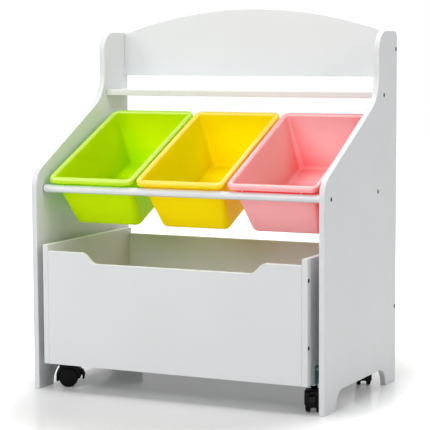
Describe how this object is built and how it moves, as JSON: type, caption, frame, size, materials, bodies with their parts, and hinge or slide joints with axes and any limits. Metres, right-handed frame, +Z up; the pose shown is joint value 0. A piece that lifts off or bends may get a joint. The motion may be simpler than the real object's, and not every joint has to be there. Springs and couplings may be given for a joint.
{
  "type": "toy shelf",
  "caption": "Children's toy shelf: slanted tier of lift-out bins on two rods, arched back, top shelf, and a low rolling storage box on swivel casters.",
  "frame": {"origin": "on the floor, in the middle of the footprint", "axes": "+X to the viewer's right, +Y to the back, +Z up"},
  "size_m": [0.65, 0.398, 0.782],
  "materials": {
    "white_board": "smooth white satin paint on board",
    "white_rod": "glossy white powder coat",
    "plug": "grey moulded plastic",
    "screw": "dark bronze plated",
    "dowel": "bare beech",
    "bracket": "blue-green zinc plated",
    "steel": "bright zinc plated",
    "caster": "black moulded nylon",
    "bin_green": "glossy lime polypropylene",
    "bin_yellow": "glossy yellow polypropylene",
    "bin_pink": "glossy pink polypropylene"
  },
  "bodies": {
    "frame": {"side_panel_left": "white_board", "side_panel_right": "white_board", "arch_panel": "white_board", "top_shelf": "white_board", "rear_rail": "white_board", "front_rod": "white_rod", "rear_rod": "white_rod", "rod_plugs": "plug", "frame_screws": "screw", "rod_screws": "screw", "frame_dowels": "dowel"},
    "box": {"box_front": "white_board", "box_side_left": "white_board", "box_side_right": "white_board", "box_back": "white_board", "box_bottom": "white_board", "box_screws": "screw", "box_dowels": "dowel", "caster_brackets": "bracket", "bracket_screws": "steel", "caster_stems": "steel"},
    "green_bin": {"bin_green": "bin_green"},
    "yellow_bin": {"bin_yellow": "bin_yellow"},
    "pink_bin": {"bin_pink": "bin_pink"},
    "caster_front_left": {"caster_hood_front_left": "caster", "caster_axle_front_left": "steel", "brake_pin_left": "steel"},
    "wheels_front_left": {"caster_wheels_front_left": "caster"},
    "brake_left": {"brake_lever_left": "caster"},
    "caster_front_right": {"caster_hood_front_right": "caster", "caster_axle_front_right": "steel", "brake_pin_right": "steel"},
    "wheels_front_right": {"caster_wheels_front_right": "caster"},
    "brake_right": {"brake_lever_right": "caster"},
    "caster_rear_left": {"caster_hood_rear_left": "caster", "caster_axle_rear_left": "steel"},
    "wheels_rear_left": {"caster_wheels_rear_left": "caster"},
    "caster_rear_right": {"caster_hood_rear_right": "caster", "caster_axle_rear_right": "steel"},
    "wheels_rear_right": {"caster_wheels_rear_right": "caster"}
  },
  "joints": [
    {"name": "box_roll", "type": "slide", "parent": "frame", "child": "box", "axis": [0, -1, 0], "range_m": [-0.03, 0.4]},
    {"name": "green_bin_lift", "type": "slide", "parent": "frame", "child": "green_bin", "axis": [0, -0.5446, 0.8387], "range_m": [0, 0.34]},
    {"name": "yellow_bin_lift", "type": "slide", "parent": "frame", "child": "yellow_bin", "axis": [0, -0.5446, 0.8387], "range_m": [0, 0.34]},
    {"name": "pink_bin_lift", "type": "slide", "parent": "frame", "child": "pink_bin", "axis": [0, -0.5446, 0.8387], "range_m": [0, 0.34]},
    {"name": "swivel_front_left", "type": "hinge", "parent": "box", "child": "caster_front_left", "pos_m": [-0.2845, -0.143, 0.045], "axis": [0, 0, 1], "range_deg": [-133, 81]},
    {"name": "spin_front_left", "type": "hinge", "parent": "caster_front_left", "child": "wheels_front_left", "pos_m": [-0.27282, -0.1373, 0.02], "axis": [-0.4384, 0.8988, 0], "continuous": true},
    {"name": "brake_left_press", "type": "hinge", "parent": "caster_front_left", "child": "brake_left", "pos_m": [-0.25529, -0.12875, 0.035], "axis": [-0.4384, 0.8988, 0], "range_deg": [0, 14]},
    {"name": "swivel_front_right", "type": "hinge", "parent": "box", "child": "caster_front_right", "pos_m": [0.2845, -0.143, 0.045], "axis": [0, 0, 1], "range_deg": [-214, 0]},
    {"name": "spin_front_right", "type": "hinge", "parent": "caster_front_right", "child": "wheels_front_right", "pos_m": [0.2883, -0.15543, 0.02], "axis": [0.9563, 0.2924, 0], "continuous": true},
    {"name": "brake_right_press", "type": "hinge", "parent": "caster_front_right", "child": "brake_right", "pos_m": [0.294, -0.17408, 0.035], "axis": [0.9563, 0.2924, 0], "range_deg": [0, 14]},
    {"name": "swivel_rear_left", "type": "hinge", "parent": "box", "child": "caster_rear_left", "pos_m": [-0.2845, 0.121, 0.045], "axis": [0, 0, 1], "range_deg": [-167, 47]},
    {"name": "spin_rear_left", "type": "hinge", "parent": "caster_rear_left", "child": "wheels_rear_left", "pos_m": [-0.278, 0.13226, 0.02], "axis": [-0.866, 0.5, 0], "continuous": true},
    {"name": "swivel_rear_right", "type": "hinge", "parent": "box", "child": "caster_rear_right", "pos_m": [0.2845, 0.121, 0.045], "axis": [0, 0, 1], "range_deg": [-43, 171]},
    {"name": "spin_rear_right", "type": "hinge", "parent": "caster_rear_right", "child": "wheels_rear_right", "pos_m": [0.2788, 0.13268, 0.02], "axis": [-0.8988, -0.4384, 0], "continuous": true}
  ]
}
